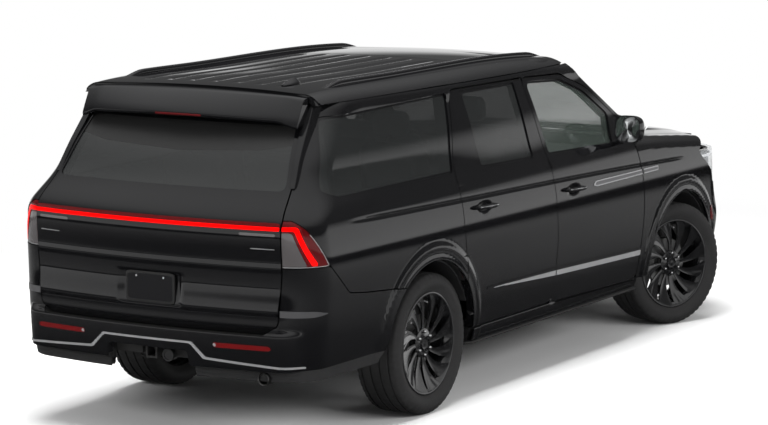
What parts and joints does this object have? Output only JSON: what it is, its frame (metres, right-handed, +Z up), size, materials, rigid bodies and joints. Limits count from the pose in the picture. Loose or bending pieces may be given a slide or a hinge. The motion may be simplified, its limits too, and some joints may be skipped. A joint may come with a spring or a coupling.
{
  "type": "family suv",
  "caption": "Long family SUV with hinged doors, hood and tailgate, steered front wheels and rolling wheels, roof rails, side steps and a towing receiver.",
  "frame": {"origin": "on the ground under the middle of the vehicle's box", "axes": "+X towards the front, +Y to the left, +Z up"},
  "size_m": [5.6437, 2.39, 1.9418],
  "materials": {
    "paint": "gloss",
    "glass_dark": "gloss",
    "glass_clear": "gloss",
    "lamp_red": "gloss",
    "lamp_clear": "gloss",
    "gloss_black": "gloss",
    "trim_black": "satin",
    "tyre": "matte",
    "rim_black": "gloss",
    "frame_steel": "satin",
    "cast_iron": "cast",
    "aluminium": "cast",
    "satin_metal": "satin",
    "leather": "grained"
  },
  "bodies": {
    "body": {"roof_panel": "paint", "rear_bumper": "paint", "front_bumper": "paint", "grille": "gloss_black", "headlamps": "lamp_clear", "windscreen": "glass_clear", "chassis_frame": "frame_steel", "floor_pan": "paint", "front_suspension": "cast_iron", "rear_suspension": "cast_iron", "wheel_liners": "trim_black", "engine_block": "aluminium", "driveline": "cast_iron", "front_seats": "leather", "middle_seats": "leather", "rear_seats": "leather", "dashboard": "trim_black", "roof_rails": "trim_black", "side_steps": "satin_metal", "side_frame_left": "paint", "quarter_glass_left": "glass_dark", "tail_lamp_left": "lamp_red", "fender_left": "paint", "knuckle_rear_left": "cast_iron", "side_frame_right": "paint", "quarter_glass_right": "glass_dark", "tail_lamp_right": "lamp_red", "fender_right": "paint", "knuckle_rear_right": "cast_iron"},
    "front_door_left": {"front_door_left": "paint", "front_door_glass_left": "glass_clear"},
    "front_door_right": {"front_door_right": "paint", "front_door_glass_right": "glass_clear"},
    "rear_door_left": {"rear_door_left": "paint", "rear_door_glass_left": "glass_dark"},
    "rear_door_right": {"rear_door_right": "paint", "rear_door_glass_right": "glass_dark"},
    "steered_knuckle_left": {"knuckle_front_left": "cast_iron"},
    "wheel_front_left": {"tyre_front_left": "tyre", "rim_front_left": "rim_black"},
    "wheel_rear_left": {"tyre_rear_left": "tyre", "rim_rear_left": "rim_black"},
    "steered_knuckle_right": {"knuckle_front_right": "cast_iron"},
    "wheel_front_right": {"tyre_front_right": "tyre", "rim_front_right": "rim_black"},
    "wheel_rear_right": {"tyre_rear_right": "tyre", "rim_rear_right": "rim_black"},
    "hood": {"hood": "paint"},
    "tailgate": {"tailgate": "paint", "tailgate_glass": "glass_dark", "light_bar": "lamp_red"},
    "steering_wheel": {"steering_wheel": "leather"}
  },
  "joints": [
    {"name": "front_door_left_hinge", "type": "hinge", "parent": "body", "child": "front_door_left", "pos_m": [1.3105, 1.0045, 0.9], "axis": [0, 0, -1], "range_deg": [0, 67]},
    {"name": "rear_door_left_hinge", "type": "hinge", "parent": "body", "child": "rear_door_left", "pos_m": [0.088, 1.0115, 0.9], "axis": [0, 0, -1], "range_deg": [0, 68]},
    {"name": "front_door_right_hinge", "type": "hinge", "parent": "body", "child": "front_door_right", "pos_m": [1.3105, -1.0045, 0.9], "axis": [0, 0, 1], "range_deg": [0, 67]},
    {"name": "rear_door_right_hinge", "type": "hinge", "parent": "body", "child": "rear_door_right", "pos_m": [0.088, -1.0115, 0.9], "axis": [0, 0, 1], "range_deg": [0, 68]},
    {"name": "hood_hinge", "type": "hinge", "parent": "body", "child": "hood", "pos_m": [1.4365, 0, 1.299], "axis": [0, -1, 0], "range_deg": [0, 48]},
    {"name": "tailgate_hinge", "type": "hinge", "parent": "body", "child": "tailgate", "pos_m": [-2.291, 0, 1.9], "axis": [0, 1, 0], "range_deg": [0, 82]},
    {"name": "steer_right", "type": "hinge", "parent": "body", "child": "steered_knuckle_right", "pos_m": [1.918, -0.853, 0.4075], "axis": [0, 0, 1], "range_deg": [-14.2, 55.8]},
    {"name": "steer_left", "type": "hinge", "parent": "body", "child": "steered_knuckle_left", "pos_m": [1.918, 0.853, 0.4075], "axis": [0, 0, 1], "range_deg": [-14.2, 55.8]},
    {"name": "wheel_front_left_spin", "type": "hinge", "parent": "steered_knuckle_left", "child": "wheel_front_left", "pos_m": [1.918, 0.853, 0.4075], "axis": [0.3551, 0.9348, 0], "continuous": true},
    {"name": "wheel_rear_left_spin", "type": "hinge", "parent": "body", "child": "wheel_rear_left", "pos_m": [-1.425, 0.853, 0.4075], "axis": [0, 1, 0], "continuous": true},
    {"name": "wheel_front_right_spin", "type": "hinge", "parent": "steered_knuckle_right", "child": "wheel_front_right", "pos_m": [1.918, -0.853, 0.4075], "axis": [0.3551, 0.9348, 0], "continuous": true},
    {"name": "wheel_rear_right_spin", "type": "hinge", "parent": "body", "child": "wheel_rear_right", "pos_m": [-1.425, -0.853, 0.4075], "axis": [0, 1, 0], "continuous": true},
    {"name": "steering_wheel_turn", "type": "hinge", "parent": "body", "child": "steering_wheel", "pos_m": [0.67, 0.42, 1.165], "axis": [-0.9063, 0, 0.4226], "range_deg": [-213, 837]}
  ],
  "couplings": [
    {"joint": "steer_left", "follows": "steer_right", "ratio": 1},
    {"joint": "steering_wheel_turn", "follows": "steer_right", "ratio": 15}
  ]
}
